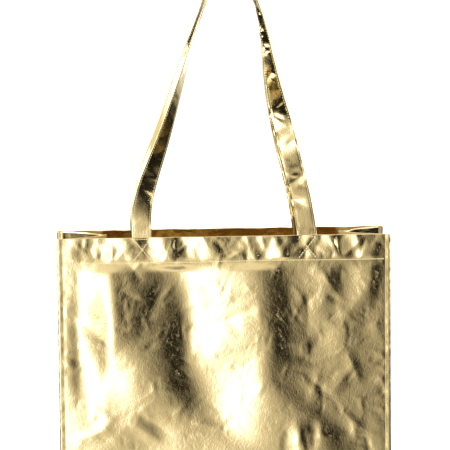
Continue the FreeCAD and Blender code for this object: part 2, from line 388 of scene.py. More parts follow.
# Tilted areas of the panels: middle x and height, half length, half width, turn, tilt to +x, tilt upwards.
FRONT_TILTS = [
    (-0.158, 0.214, 0.088, 0.027, 86.0, -0.105, -0.020),
    (-0.089, 0.224, 0.088, 0.058, 87.0, 0.160, 0.060),
    (0.004, 0.196, 0.120, 0.056, 84.0, -0.095, -0.030),
    (0.100, 0.238, 0.050, 0.030, 62.0, -0.020, -0.005),
    (0.156, 0.262, 0.046, 0.026, 70.0, -0.075, -0.010),
    (0.080, 0.172, 0.056, 0.040, 62.0, 0.050, 0.020),
    (0.138, 0.158, 0.080, 0.042, 70.0, 0.0, 0.010),
    (0.052, 0.088, 0.100, 0.044, -38.0, -0.075, -0.025),
    (-0.025, 0.068, 0.090, 0.054, 10.0, -0.055, -0.015),
    (0.078, 0.074, 0.020, 0.010, 75.0, -0.110, -0.020),
    (0.097, 0.073, 0.020, 0.012, 75.0, 0.150, 0.040),
    (-0.125, 0.098, 0.080, 0.046, 15.0, 0.015, -0.010),
]
# The same for the hem band, which is folded double and drawn into broad slanting creases.
HEM_TILTS = [
    (-0.173, 0.305, 0.026, 0.020, 72.0, 0.120, 0.030),
    (-0.136, 0.305, 0.026, 0.018, 66.0, -0.120, -0.020),
    (-0.101, 0.305, 0.026, 0.017, 82.0, 0.130, 0.030),
    (-0.060, 0.305, 0.026, 0.015, 112.0, 0.120, 0.040),
    (-0.030, 0.305, 0.026, 0.018, 110.0, -0.090, -0.020),
    (0.010, 0.305, 0.026, 0.022, 80.0, 0.030, 0.020),
    (0.052, 0.305, 0.026, 0.015, 118.0, -0.110, -0.020),
    (0.082, 0.305, 0.026, 0.014, 70.0, 0.120, 0.030),
    (0.118, 0.305, 0.026, 0.014, 122.0, -0.100, -0.010),
    (0.142, 0.305, 0.026, 0.014, 120.0, 0.110, 0.020),
    (0.175, 0.305, 0.026, 0.018, 80.0, 0.060, 0.030),
]
BACK_TILTS = [
    (0.140, 0.200, 0.090, 0.030, 82.0, 0.080, -0.020),
    (0.070, 0.190, 0.070, 0.034, 76.0, -0.070, 0.040),
    (-0.010, 0.180, 0.095, 0.044, 98.0, 0.060, -0.030),
    (-0.085, 0.215, 0.060, 0.030, 66.0, -0.060, 0.030),
    (-0.130, 0.120, 0.070, 0.034, 110.0, 0.050, -0.020),
    (0.040, 0.075, 0.090, 0.034, 25.0, 0.020, 0.050),
]


def relief(x, up, side):
    """How far the panel's film stands off its flat place, outwards.

    Tilted areas and creases of three sizes, faded to nothing at the sewn edges; the hem band is stiffer,
    and its top edge waves a little; each side seam is drawn into short puckers.
    """
    seed = 10 if side == "front" else 50
    scale, crisp = sizes().swell, sizes().crinkle
    area = ((-BAG.half_width, 0.0), (BAG.half_width, BAG.height))
    to_seam = np.clip((BAG.seam_x - np.abs(x)) / 0.020, 0, None)
    to_base = np.clip(up / 0.030, 0, None)
    below_hem = np.clip((BAG.hem_up - up) / 0.013, 0, None)
    inner = ease(to_seam) * ease(to_base)
    body = inner * ease(below_hem)
    shapes = FRONT_TILTS if side == "front" else BACK_TILTS
    total = scale * tilted_areas(x, up, shapes) * body
    total += 0.0016 * scale * ease((BAG.seam_x - np.abs(x)) / 0.13) * ease(up / 0.12) * ease(below_hem / 7)
    total += crease_field(x, up, seed + 1, 30, 0.060, 0.030 * crisp, area) * body
    total += crease_field(x, up, seed + 2, 150, 0.022, 0.058 * crisp, area) * body
    total += crease_field(x, up, seed + 3, 520, 0.0095, 0.062 * crisp, area) * inner
    band = ease((up - BAG.hem_up) / 0.004) * ease(to_seam)
    band_area = ((-BAG.half_width, BAG.hem_up), (BAG.half_width, BAG.height))
    total += band * scale * tilted_areas(-outward(side) * x, up, HEM_TILTS)
    total += band * crease_field(x, up, seed + 4, 34, 0.030, 0.06 * crisp, band_area, (0.5, 1.5))
    total += band * crease_field(x, up, seed + 9, 110, 0.011, 0.11 * crisp, band_area, (0.3, 2.8))
    total += 0.0011 * noise(x, up, 0.047, seed + 5) * ease((up - BAG.hem_up + 0.02) / 0.05) * ease(to_seam)
    stitch = np.exp(-((up - BAG.hem_up) / 0.0011) ** 2)
    total -= 0.00035 * stitch * ease(to_seam)
    near_seam = np.exp(-((BAG.seam_x - np.abs(x)) / 0.011) ** 2) * (np.abs(x) < BAG.seam_x)
    pucker = noise(x * 0.5 + 3, up + x * 0.3, 0.0120, seed + 6) + 0.5 * noise(x * 0.4, up, 0.0056, seed + 7)
    uneven = ease(0.5 + 0.9 * noise(x * 0.2 + 9, up, 0.055, seed + 11))
    total += 0.0006 * near_seam * pucker * uneven * ease((BAG.seam_x - np.abs(x)) / 0.004)
    flange = ease((np.abs(x) - BAG.seam_x) / 0.0022)
    total += flange * (0.0003 + 0.00035 * noise(x * 0.3, up, 0.009, seed + 8))
    total -= 0.0004 * np.exp(-((np.abs(x) - BAG.seam_x) / 0.0009) ** 2)
    return total


def on_panel(x, inward, up, side):
    """Points of the leaning panel's frame: off its middle plane and up from its bottom fold."""
    y = BAG.fold[1] + inward * math.cos(BAG.lean) + up * math.sin(BAG.lean)
    z = BAG.fold[2] - inward * math.sin(BAG.lean) + up * math.cos(BAG.lean)
    points = np.stack(np.broadcast_arrays(x, y, z), axis=-1).astype(float)
    if side == "back":
        points[..., 1] *= -1
    return points


def film_point(x, up, side, proud=0.0):
    """A point of the panel's outer film, or `proud` of it."""
    return on_panel(x, -BAG.cloth / 2 - relief(x, up, side) - proud, up, side)


def film_normal(x, up, side):
    """The outer film's outward direction, from the slopes of its relief."""
    step = 0.0008
    along = film_point(x + step, up, side) - film_point(x - step, up, side)
    rise = film_point(x, up + step, side) - film_point(x, up - step, side)
    normal = unit(np.cross(along, rise))
    return normal if side == "front" else -normal


def outward(side):
    return -1.0 if side == "front" else 1.0


def make_panel(side):
    """The panel's sheet: outer film from the base to the top fold, over it, and down inside as the hem.

    A row of the grid is a line across the bag. Rows go up the outside, round a half circle of two layers'
    thickness, and down to the hem's raw edge.
    """
    step = sizes().grid_step
    x = np.linspace(-BAG.half_width, BAG.half_width, int(2 * BAG.half_width / step) + 1)
    radius = BAG.cloth
    top = BAG.height - radius
    up_outer = np.linspace(0.0006, top, int(top / step))
    bend = np.linspace(0, math.pi, 8)[1:-1]
    up_inner = np.linspace(top, BAG.hem_up - 0.0015, int((top - BAG.hem_up) / step) + 2)
    outer_in = -BAG.cloth / 2
    up = np.concatenate((up_outer, top + radius * np.sin(bend), up_inner))
    inward = np.concatenate((
        np.full(len(up_outer), outer_in),
        outer_in + radius * (1 - np.cos(bend)),
        np.full(len(up_inner), outer_in + 2 * radius)))
    grid_x, grid_up = np.meshgrid(x, up)
    held_up = np.minimum(grid_up, top)
    hem_end = BAG.half_width - 0.0095
    layer = np.repeat(inward[:, None], len(x), axis=1)
    inside = layer > outer_in + radius
    grid_x = np.where(inside, np.clip(grid_x, -hem_end, hem_end), grid_x)
    points = on_panel(grid_x, layer - relief(grid_x, held_up, side), grid_up, side)
    piece = grid_object(f"{side}_panel_cloth", points, flip=side == "back")
    finish_sheet(piece)
    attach(piece, side)
    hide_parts(f"{side}_panel")
    return piece


def finish_sheet(piece):
    """Gives a sheet its thickness behind the film, with cloth on the inner side."""
    piece.data.materials.append(bpy.data.materials["gold_film"])
    piece.data.materials.append(bpy.data.materials["cloth_back"])
    wall = piece.modifiers.new("thickness", "SOLIDIFY")
    wall.thickness = sizes().film_thickness
    wall.offset = -1.0
    wall.material_offset = 1


def gusset_lines(up):
    """Seam and middle crease of the right gusset's front half at a height along the seam.

    The cloth is as wide as half the base is deep. The crease leans in as a straight line above the height
    where the two corner creases meet it, and falls to the base's edge below.
    """
    seam = on_panel(np.full_like(up, BAG.seam_x), BAG.gusset_edge, up, "front")
    rise = np.clip(up / GUSSET_FOLD_RISE, 0, 1)
    fold_seam = on_panel(np.array(BAG.seam_x), BAG.gusset_edge, np.array(GUSSET_FOLD_RISE), "front")
    width = -on_panel(np.array(0.0), BAG.gusset_edge, np.array(0.0), "front")[1]
    tuck = math.sqrt(width ** 2 - fold_seam[1] ** 2)
    above = np.clip((up - GUSSET_FOLD_RISE) / (BAG.height - GUSSET_FOLD_RISE), 0, 1)
    crease_x = BAG.seam_x - tuck * rise - (BAG.seam_x - tuck - BAG.crease_top_x) * above
    crease = np.stack((crease_x, np.zeros_like(up), seam[:, 2]), axis=-1)
    corner = np.stack((crease_x, -width * (1 - rise), seam[:, 2]), axis=-1)
    return seam, corner, crease, width, rise


def make_gusset_half(right, side):
    """Half a gusset: its sewn edge, a side face above the corner crease and half the low triangle.

    Across a row, the first stretch is the flange outside the seam, and the rest is the cloth from the seam
    to the crease, bent once at the corner crease.
    """
    step = sizes().grid_step
    up = np.linspace(BAG.cloth * 1.2, BAG.height - 0.0004, int(BAG.height / step))
    seam, corner, crease, width, rise = gusset_lines(up)
    across = np.linspace(0, 1, int(width / step) + 1)[None, :, None]
    share = rise[:, None, None]
    safe = np.maximum(share, 1e-6)
    first = seam[:, None] + (corner - seam)[:, None] * np.clip(across / safe, 0, 1)
    rest = np.clip((across - share) / np.maximum(1 - share, 1e-6), 0, 1)
    points = np.where(across < share, first, corner[:, None] + (crease - corner)[:, None] * rest)
    seed = 90 + 7 * right + 3 * (side == "front")
    grid_up = np.repeat(up[:, None], across.shape[1], axis=1)
    grid_s = np.repeat(across[0, :, 0][None] * width, len(up), axis=0)
    held = ease(across[..., 0] / 0.18) * ease((1 - across[..., 0]) / 0.10) * ease((grid_up - 0.002) / 0.02)
    area = ((0.0, 0.0), (width, BAG.height))
    lift = 0.0022 * np.sin(math.pi * across[..., 0]) * ease(grid_up / 0.09)
    lift = lift + crease_field(grid_s, grid_up, seed, 30, 0.030, 0.10, area)
    lift = lift + crease_field(grid_s, grid_up, seed + 1, 160, 0.010, 0.12, area)
    along = np.gradient(points, axis=1)
    rising = np.gradient(points, axis=0)
    normal = unit(np.cross(rising, along))
    points = points + normal * (lift * held)[..., None]
    edge = np.linspace(BAG.half_width, BAG.seam_x, 5)[:-1]
    flange = on_panel(edge[None], BAG.gusset_edge, up[:, None], "front")
    points = np.concatenate((flange, points), axis=1)
    if side == "back":
        points[..., 1] *= -1
    if not right:
        points[..., 0] *= -1
    name = f"{'right' if right else 'left'}_gusset_{side}_half"
    piece = grid_object(name, points, flip=(side == "front") != bool(right))
    finish_sheet(piece)
    hang_on_panel(piece)
    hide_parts(f"{'right' if right else 'left'}_gusset")
    return piece


def hang_on_panel(piece):
    """Bakes the piece's transform into its points."""
    seam = on_panel(np.array(BAG.seam_x), BAG.gusset_edge, np.array(BAG.height), "front")
    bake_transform(piece)


# ---------------------------------------------------------------- straps

# A handle's line as shares of half the spacing and of the rise: left leg, right leg, and each side
# of the top.
LEFT_LEG = [(-1.0, 0.0), (-1.0, 0.085), (-0.80, 0.30), (-0.44, 0.64), (-0.20, 0.85)]
RIGHT_LEG = [(1.0, 0.0), (0.955, 0.085), (0.785, 0.30), (0.53, 0.64), (0.37, 0.85)]
ARCH = [(0.145, 0.945), (0.075, 0.984)]
TWIST_START = {"left": 0.05, "right": 0.28}
TOP_SHIFT = {"front": 0.009, "back": 0.004}
STRAP_STRAIGHT = 0.025     # height over which the strap turns upright towards its sewn end
EDGE_STITCH_INSET = 0.0022


def strap_frames(side, count=520):
    """Middle, width direction and face direction along the strap, from one sewn end to the other.

    The free part is a spline through the handle's points; its width turns from along X at the bag to along
    Y at the top.
    """
    half = BAG.strap_reach - sizes().strap_width / 2
    shift = TOP_SHIFT[side]
    edge = on_panel(np.array(0.0), BAG.cloth * 1.5 + sizes().strap_thickness / 2,
                    np.array(BAG.height), "front")
    top = BAG.handle_high[2] if side == "front" else BAG.back_handle_high[2]
    rise = top - edge[2] - sizes().strap_thickness / 2
    middle_y = BAG.handle_high[1] - sizes().strap_width / 2
    plan = [(a * half, b) for a, b in LEFT_LEG]
    plan += [(shift - a * half, b) for a, b in ARCH] + [(shift, 1.0)]
    plan += [(shift + a * half, b) for a, b in ARCH[::-1]] + [(a * half, b) for a, b in RIGHT_LEG[::-1]]
    route = np.array([(a, edge[1] + (middle_y - edge[1]) * b, edge[2] + rise * b) for a, b in plan])
    line = natural_spline(route, count)
    along = unit(np.gradient(line, axis=0))
    leaving = np.clip((line[:, 2:3] - edge[2]) / STRAP_STRAIGHT, 0, 1)
    upright = np.zeros_like(along)
    upright[:, 2] = np.sign(along[:, 2])
    along = unit(upright * (1 - leaving) + along * leaving)
    run = np.linspace(0, 1, count)
    peak = run[np.argmax(line[:, 2])]
    left = run <= peak
    share = np.where(left, run / peak, (1 - run) / (1 - peak))
    start = np.where(left, TWIST_START["left"], TWIST_START["right"])
    eased = np.clip((share - start) / (1 - start), 0, 1)
    twist = (math.pi / 2 * np.sin(math.pi / 2 * eased) ** 0.9)[:, None]
    broad = -unit(np.cross((0.0, 1.0, 0.0), along))
    flat_side = np.cross(along, broad)
    width = broad * np.cos(twist) + flat_side * np.sin(twist)
    return line, along, width


def strap_line(side):
    """The whole strap: sewn end, free part, sewn end, as middle, width direction and face direction."""
    line, along, width = strap_frames(side)
    up = np.linspace(BAG.strap_end_up, BAG.height - 0.0008, 22)
    inward = BAG.cloth * 1.5 + sizes().strap_thickness / 2
    ends = []
    for x in (line[0, 0], line[-1, 0]):
        middle = np.full_like(up, x)
        held = relief(middle, np.minimum(up, BAG.height - BAG.cloth), side)
        ends.append(on_panel(middle, inward + 0.0001 - held, up, "front"))
    sway = 1 - ease((line[:, 2] - line[0, 2]) / 0.05)
    shift = np.where(np.arange(len(line)) < len(line) // 2, ends[0][-1, 1], ends[1][-1, 1]) - line[0, 1]
    line = line + np.stack((np.zeros_like(sway), sway * shift, np.zeros_like(sway)), axis=1)
    lean = np.array((0.0, math.sin(BAG.lean), math.cos(BAG.lean)))
    skip = 3
    points = np.concatenate((ends[0], line[skip:-skip], ends[1][::-1]))
    run_up, run_down = np.tile(lean, (len(up), 1)), np.tile(-lean, (len(up), 1))
    along = unit(np.concatenate((run_up, along[skip:-skip], run_down)))
    leftward, rightward = np.tile((-1.0, 0, 0), (len(up), 1)), np.tile((1.0, 0, 0), (len(up), 1))
    width = unit(np.concatenate((leftward, width[skip:-skip], rightward)))
    face = unit(np.cross(along, width))
    if side == "back":
        points, width, face = (array * (1, -1, 1) for array in (points, width, face))
    return points, width, face


def strap_relief(run, across, seed):
    """Small ripples of the strap's face: dents at the edge stitching, cross creases and long waves."""
    half = sizes().strap_width / 2
    groove = -0.00022 * np.exp(-((np.abs(across) - half + EDGE_STITCH_INSET) / 0.0008) ** 2)
    area = ((0.0, -half), (float(run.max()), half))
    ripples = crease_field(run, across, seed, 110, 0.015, 0.12, area, (0.9, 2.2))
    waves = 0.0007 * noise(run, across * 0.5, 0.021, seed + 1)
    calm = 0.30 + 1.15 * ease((run / run.max() - 0.40) / 0.15)     # the left leg is pulled taut
    return groove + calm * (ripples + waves) * ease((half - np.abs(across)) / 0.003 + 0.25)


def make_strap(side):
    """A flat strap with rounded edges: its oblong section is carried along the handle's line."""
    points, width, face = strap_line(side)
    half, thick = sizes().strap_width / 2, sizes().strap_thickness / 2
    flat = np.linspace(-(half - thick), half - thick, 19)
    turn = np.linspace(-math.pi / 2, math.pi / 2, 5)[1:-1]
    across = np.concatenate((flat, half - thick + thick * np.cos(turn),
                             flat[::-1], -(half - thick) - thick * np.cos(turn)))
    off = np.concatenate((np.full(19, -thick), thick * np.sin(turn), np.full(19, thick),
                          -thick * np.sin(turn)))
    run = np.concatenate(([0.0], np.cumsum(np.linalg.norm(np.diff(points, axis=0), axis=1))))
    grid_run = np.repeat(run[:, None], len(across), axis=1)
    grid_across = np.repeat(across[None], len(run), axis=0)
    lift = strap_relief(grid_run, grid_across, 301 if side == "front" else 331)
    free = ease((points[:, 2] - BAG.height) / 0.02)[:, None]
    lift = lift * (0.35 + 0.65 * free)
    surface = points[:, None] + width[:, None] * across[None, :, None] \
        + face[:, None] * (off[None] + lift)[..., None]
    piece = grid_object(f"{side}_handle_strap", surface, wrap=True, caps=True, flip=side == "back")
    piece.data.materials.append(bpy.data.materials["gold_strap_film"])
    bend_at_top_edge(piece)
    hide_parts(f"{side}_handle", f"{side}_handle_ends")
    lines = []
    for inset in (-(half - EDGE_STITCH_INSET), half - EDGE_STITCH_INSET):
        rise = strap_relief(run, np.full_like(run, inset), 301 if side == "front" else 331)
        rise = rise * (0.35 + 0.65 * free[:, 0])
        for sign in (-1, 1):
            at = points + width * inset + face * (sign * thick + rise)[:, None]
            lines.append((at, face * sign))
    seed = 700 if side == "front" else 720
    parts = [stitch_line(line, normals, sizes().stitch_length, seed + k)
             for k, (line, normals) in enumerate(lines)]
    starts, ends, up = (np.concatenate([part[k] for part in parts]) for k in range(3))
    seams = stitch_object(f"{side}_handle_seams", starts, ends, up, sizes().thread_radius * 0.85)
    seams.data.materials.append(bpy.data.materials["sewing_thread"])
    bend_at_top_edge(seams)
    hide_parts(f"{side}_handle_stitching")
    return piece


def bend_at_top_edge(piece):
    """Bakes the piece's transform into its points."""
    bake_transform(piece)


# ---------------------------------------------------------------- sewing

def film_line(x, up, side, proud):
    """A sewn line on the outer film, with its outward normals."""
    x, up = np.broadcast_arrays(np.asarray(x, float), np.asarray(up, float))
    return film_point(x, up, side, proud), film_normal(x, up, side)


def make_panel_sewing(side):
    """Hem line, both side seams and both box stitches of one panel."""
    radius = sizes().thread_radius
    proud = radius * 0.15
    x = np.linspace(-BAG.seam_x + 0.001, BAG.seam_x - 0.001, 500)
    hem = film_line(x, BAG.hem_up + 0.0003 * np.sin(x * 31), side, proud)
    sewn(f"{side}_hem_stitches", [hem], side, f"{side}_hem_thread", radius * 1.6, seed=900)
    for name, sign in (("left", -1), ("right", 1)):
        up = np.linspace(0.002, BAG.height - 0.001, 420)
        seam = film_line(sign * (BAG.seam_x + 0.0002 * np.sin(up * 47)), up, side, proud)
        sewn(f"{side}_{name}_seam_stitches", [seam], side, f"{side}_{name}_seam_thread", seed=910)
        left, right = sorted(sign * value for value in BAG.box_x)
        low, top = BAG.box_up
        corners = [(left, top, right, top), (left, low, right, top), (left, top, right, low)]
        lines = []
        for x0, up0, x1, up1 in corners:
            t = np.linspace(0, 1, 40)
            lines.append(film_line(x0 + (x1 - x0) * t, up0 + (up1 - up0) * t, side, proud))
        sewn(f"{side}_{name}_box_stitches", lines, side, f"{side}_{name}_box_stitch", radius * 1.6, seed=930)


# ---------------------------------------------------------------- base

def make_bottom():
    """The bottom panel: a thin slab with rounded edges, slightly quilted between its seams."""
    half_x, half_y, thick = BAG.half_width, BAG.base_half, BAG.cloth
    x = np.linspace(-half_x, half_x, 200)
    y = np.linspace(-half_y, half_y, 62)
    grid_x, grid_y = np.meshgrid(x, y)
    edge = ease((half_x - np.abs(grid_x)) / 0.004) * ease((half_y - np.abs(grid_y)) / 0.004)
    lift = thick * (0.45 + 0.55 * edge) - 0.0001 * edge * (1 + noise(grid_x, grid_y, 0.02, 77))
    surface = np.stack((grid_x, grid_y, lift), axis=-1)
    piece = grid_object("bottom_cloth", surface)
    piece.data.materials.append(bpy.data.materials["cloth_back"])
    piece.data.materials.append(bpy.data.materials["gold_film"])
    wall = piece.modifiers.new("thickness", "SOLIDIFY")
    wall.thickness = thick * 0.4
    wall.offset = -1.0
    wall.material_offset = 1
    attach(piece, "base")
    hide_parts("bottom_panel")
    return piece


def make_base_sewing():
    """Bottom seams inside the bag: along the front and back, and along the left and right sides."""
    radius = sizes().thread_radius
    up_normal = np.array((0.0, 0.0, 1.0))
    for side in SIDES:
        low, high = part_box(f"{side}_bottom_thread")
        x = np.linspace(low[0], high[0], 200)
        line = np.stack((x, np.full_like(x, (low[1] + high[1]) / 2), np.full_like(x, low[2])), axis=1)
        sewn(f"{side}_bottom_stitches", [(line, np.tile(up_normal, (len(x), 1)))], "base",
             f"{side}_bottom_thread", seed=950)
    for hand in ("left", "right"):
        low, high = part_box(f"{hand}_bottom_thread")
        y = np.linspace(low[1], high[1], 120)
        middle_x, thread_up = np.full_like(y, (low[0] + high[0]) / 2), np.full_like(y, low[2] + radius)
        line = np.stack((middle_x, y, thread_up), axis=1)
        sewn(f"{hand}_bottom_stitches", [(line, np.tile(up_normal, (len(y), 1)))], "base",
             f"{hand}_bottom_thread", seed=960)


def make_gusset_sewing(right, side):
    """Hem stitches across half a gusset, on its outer face."""
    name = "right" if right else "left"
    half = bpy.data.objects[f"{name}_gusset_{side}_half"]
    count = len(half.data.vertices)
    points = np.empty(count * 3, np.float32)
    half.data.vertices.foreach_get("co", points)
    normals = np.empty(count * 3, np.float32)
    half.data.vertex_normals.foreach_get("vector", normals)
    rows = int(BAG.height / sizes().grid_step)
    points = points.reshape(rows, -1, 3)
    normals = normals.reshape(rows, -1, 3)
    row = int(round(rows * BAG.hem_up / BAG.height))
    line, up = points[row, 8:-3].astype(float), normals[row, 8:-3].astype(float)
    piece = sewn(f"{name}_gusset_{side}_hem_stitches", [(line, up)], None, f"{name}_gusset_hem_thread",
                 seed=970)
    hang_on_panel(piece)


# ---------------------------------------------------------------- finishes

class Value:
    """A number that varies over a surface; arithmetic on it adds Math nodes."""

    def __init__(self, finish, socket):
        self.finish, self.socket = finish, socket

    def _with(self, operation, other, reflected=False):
        pair = [self.socket, other.socket if isinstance(other, Value) else other]
        if reflected:
            pair.reverse()
        node = self.finish.node("ShaderNodeMath", {"operation": operation}, {0: pair[0], 1: pair[1]})
        return Value(self.finish, node.outputs[0])

    def __add__(self, other):
        return self._with("ADD", other)

    __radd__ = __add__

    def __mul__(self, other):
        return self._with("MULTIPLY", other)

    __rmul__ = __mul__

    def __sub__(self, other):
        return self._with("SUBTRACT", other)

    def __rsub__(self, other):
        return self._with("SUBTRACT", other, True)

    def __pow__(self, other):
        return self._with("POWER", other)

    def __rpow__(self, other):
        return self._with("POWER", other, True)

    def clamp(self):
        return self.at_least(0.0)._with("MINIMUM", 1.0)

    def at_least(self, low):
        return self._with("MAXIMUM", low)

    def angle_to(self, other):
        """The angle whose tangent is this over the other."""
        return self._with("ARCTAN2", other)


class Finish:
    """A material made from nodes."""

    def __init__(self, name):
        self.material = bpy.data.materials.new(name)
        self.material.use_nodes = True
        self.tree = self.material.node_tree
        self.tree.nodes.clear()
        self.output = self.tree.nodes.new("ShaderNodeOutputMaterial")
        self.place = self.node("ShaderNodeTexCoord").outputs["Object"]

    def node(self, kind, settings=None, sockets=None):
        """A node of that type, with its settings made first and its sockets set or linked."""
        node = self.tree.nodes.new(kind)
        for key, value in (settings or {}).items():
            setattr(node, key, value)
        for key, value in (sockets or {}).items():
            if isinstance(value, Value):
                value = value.socket
            if isinstance(value, bpy.types.NodeSocket):
                self.tree.links.new(value, node.inputs[key])
            else:
                node.inputs[key].default_value = value
        return node

    def noise(self, scale, detail=2.0, rough=0.5, warp=0.0, place=None):
        node = self.node("ShaderNodeTexNoise", {"noise_dimensions": "3D"}, {
            "Vector": place or self.place, "Scale": scale, "Detail": detail, "Roughness": rough,
            "Distortion": warp})
        return Value(self, node.outputs["Fac"])

    def cells(self, scale, feature="F1", place=None, randomness=1.0):
        node = self.node("ShaderNodeTexVoronoi", {"feature": feature}, {
            "Vector": place or self.place, "Scale": scale, "Randomness": randomness})
        return Value(self, node.outputs["Distance"])

    def blend(self, low, high, share):
        """Mixes two colours by a share from 0 to 1."""
        node = self.node("ShaderNodeMix", {"data_type": "RGBA"}, {
            0: share, 6: (*low, 1.0), 7: (*high, 1.0)})
        return node.outputs[2]

    def scaled(self, colour, factor):
        """A colour times a number that may vary."""
        node = self.node("ShaderNodeVectorMath", {"operation": "SCALE"}, {"Vector": colour, "Scale": factor})
        return node.outputs["Vector"]

    def bump(self, height, distance, strength=1.0, under=None):
        sockets = {"Height": height, "Distance": distance, "Strength": strength}
        if under is not None:
            sockets["Normal"] = under
        return self.node("ShaderNodeBump", None, sockets).outputs["Normal"]

    def surface(self, **sockets):
        """The Principled shader, its sockets named with underscores for spaces."""
        named = {key.replace("_", " "): value for key, value in sockets.items()}
        shader = self.node("ShaderNodeBsdfPrincipled", None, named)
        self.tree.links.new(shader.outputs[0], self.output.inputs[0])
        return self.material


def shade(colour, factor):
    return tuple(min(1.0, channel * factor) for channel in colour)


def make_film(name, colour, roughness=0.10, grain=1.0):
    """Metallic film pressed on non-woven cloth: cell-like crinkles, fibre dimples and dull rubbed patches."""
    film = Finish(name)
    soft = film.noise(38.0, 3.0, 0.6)
    rubbed = film.noise(9.0, 2.0, 0.5)
    facets = film.cells(420.0, "DISTANCE_TO_EDGE")
    crinkle = film.noise(330.0, 3.0, 0.62, 0.6)
    fibres = film.noise(1500.0, 2.0, 0.5)
    creased = film.noise(130.0, 4.0, 0.68, 1.4)
    height = crinkle * 0.40 + facets * 0.45 + fibres * 0.05 + creased * 1.2
    normal = film.bump(height, 0.00018 * grain, 1.0)
    tint = film.blend(shade(colour, 0.94), shade(colour, 1.03), soft)
    rough = (rubbed - 0.5) * 0.16 + (soft - 0.5) * 0.10 + roughness
    return film.surface(Base_Color=tint, Metallic=1.0, Roughness=rough.clamp(), Normal=normal,
                        Coat_Weight=0.12, Coat_Roughness=0.12)


def make_cloth_back(colour):
    """Non-woven polypropylene: soft fibres and a grid of small pressed dots."""
    cloth = Finish("cloth_back")
    dots = cloth.cells(700.0, "F1", randomness=0.25)
    fibres = cloth.noise(900.0, 4.0, 0.7, 1.5)
    clouds = cloth.noise(60.0, 3.0, 0.6)
    tint = cloth.blend(shade(colour, 0.78), shade(colour, 1.12), fibres * 0.6 + clouds * 0.4)
    normal = cloth.bump(dots * 0.7 + fibres * 0.5, 0.00012)
    return cloth.surface(Base_Color=tint, Roughness=0.74 + clouds * 0.1, Normal=normal,
                         Sheen_Weight=0.15, Sheen_Roughness=0.5)


def make_thread(colour):
    """Twisted polyester thread with a slight gloss."""
    thread = Finish("sewing_thread")
    strands = thread.noise(2600.0, 2.0, 0.6)
    drift = thread.noise(45.0, 2.0, 0.5)
    tint = thread.blend(shade(colour, 0.80), shade(colour, 1.12), strands * 0.6 + drift * 0.4)
    return thread.surface(Base_Color=tint, Roughness=0.42 + strands * 0.15,
                          Normal=thread.bump(strands, 0.0001), Sheen_Weight=0.2)


def make_board(colour):
    """Recycled grey board: flecks and faint clouds of tone."""
    board = Finish("grey_board")
    flecks = board.noise(620.0, 3.0, 0.65)
    clouds = board.noise(24.0, 3.0, 0.5)
    tint = board.blend(shade(colour, 0.82), shade(colour, 1.10), flecks * 0.55 + clouds * 0.45)
    return board.surface(Base_Color=tint, Roughness=0.82 + flecks * 0.1,
                         Normal=board.bump(flecks, 0.00015))


def make_plain_floor(colour):
    """Plain pale studio floor with a faint tone change."""
    floor = Finish("studio_floor")
    clouds = floor.noise(0.8, 2.0, 0.5)
    tint = floor.blend(shade(colour, 0.99), shade(colour, 1.01), clouds)
    return floor.surface(Base_Color=tint, Roughness=0.6 + clouds * 0.05,
                         Emission_Color=(1.0, 1.0, 1.0, 1.0), Emission_Strength=0.75)


# ---------------------------------------------------------------- stage

def aim(thing, place, target):
    thing.location = place
    thing.rotation_euler = (Vector(target) - Vector(place)).to_track_quat("-Z", "Y").to_euler()


def around(azimuth, elevation, distance, centre):
    """A place seen from the centre at an azimuth from the front, positive to the right, and an elevation."""
    a, e = math.radians(azimuth), math.radians(elevation)
    return (centre[0] + distance * math.sin(a) * math.cos(e),
            centre[1] - distance * math.cos(a) * math.cos(e),
            centre[2] + distance * math.sin(e))


def add_softbox(name, azimuth, elevation, distance, width, height, brightness, centre):
    """A rectangular light; brightness is what a mirror would show of it."""
    light = bpy.data.lights.new(name, "AREA")
    light.shape = "RECTANGLE"
    light.size, light.size_y = width, height
    light.energy = brightness * math.pi * width * height
    box = bpy.data.objects.new(name, light)
    bpy.context.scene.collection.objects.link(box)
    aim(box, around(azimuth, elevation, distance, centre), centre)
    box.visible_camera = False
    return box


def soft_spot(u, v, at, reach):
    """exp(-((u - a)^2 / p^2 + (v - b)^2 / q^2)), as nodes."""
    du, dv = (u - at[0]) * (1 / reach[0]), (v - at[1]) * (1 / reach[1])
    return math.e ** (0.0 - (du * du + dv * dv))


# Tone of the surroundings, the same towards the front and the back: azimuth from that side's middle and
# tangent of elevation, their reaches, and what the spot adds to the level all round.
SURROUNDINGS_LEVEL = 1.10
SURROUNDINGS_DARKEST = 0.015
SURROUNDINGS_RADIUS = 3.0
SURROUNDINGS_MIDDLE = 0.2
SURROUNDINGS_SPOTS = [
    (0.53, 0.18, 0.41, 0.44, -1.28),
    (1.40, -0.38, 1.00, 0.34, -1.55),
    (-1.30, -0.40, 0.50, 0.24, -0.85),
    (-0.28, -0.05, 0.16, 0.45, 2.60),
    (1.15, 0.20, 0.16, 0.35, 1.40),
]


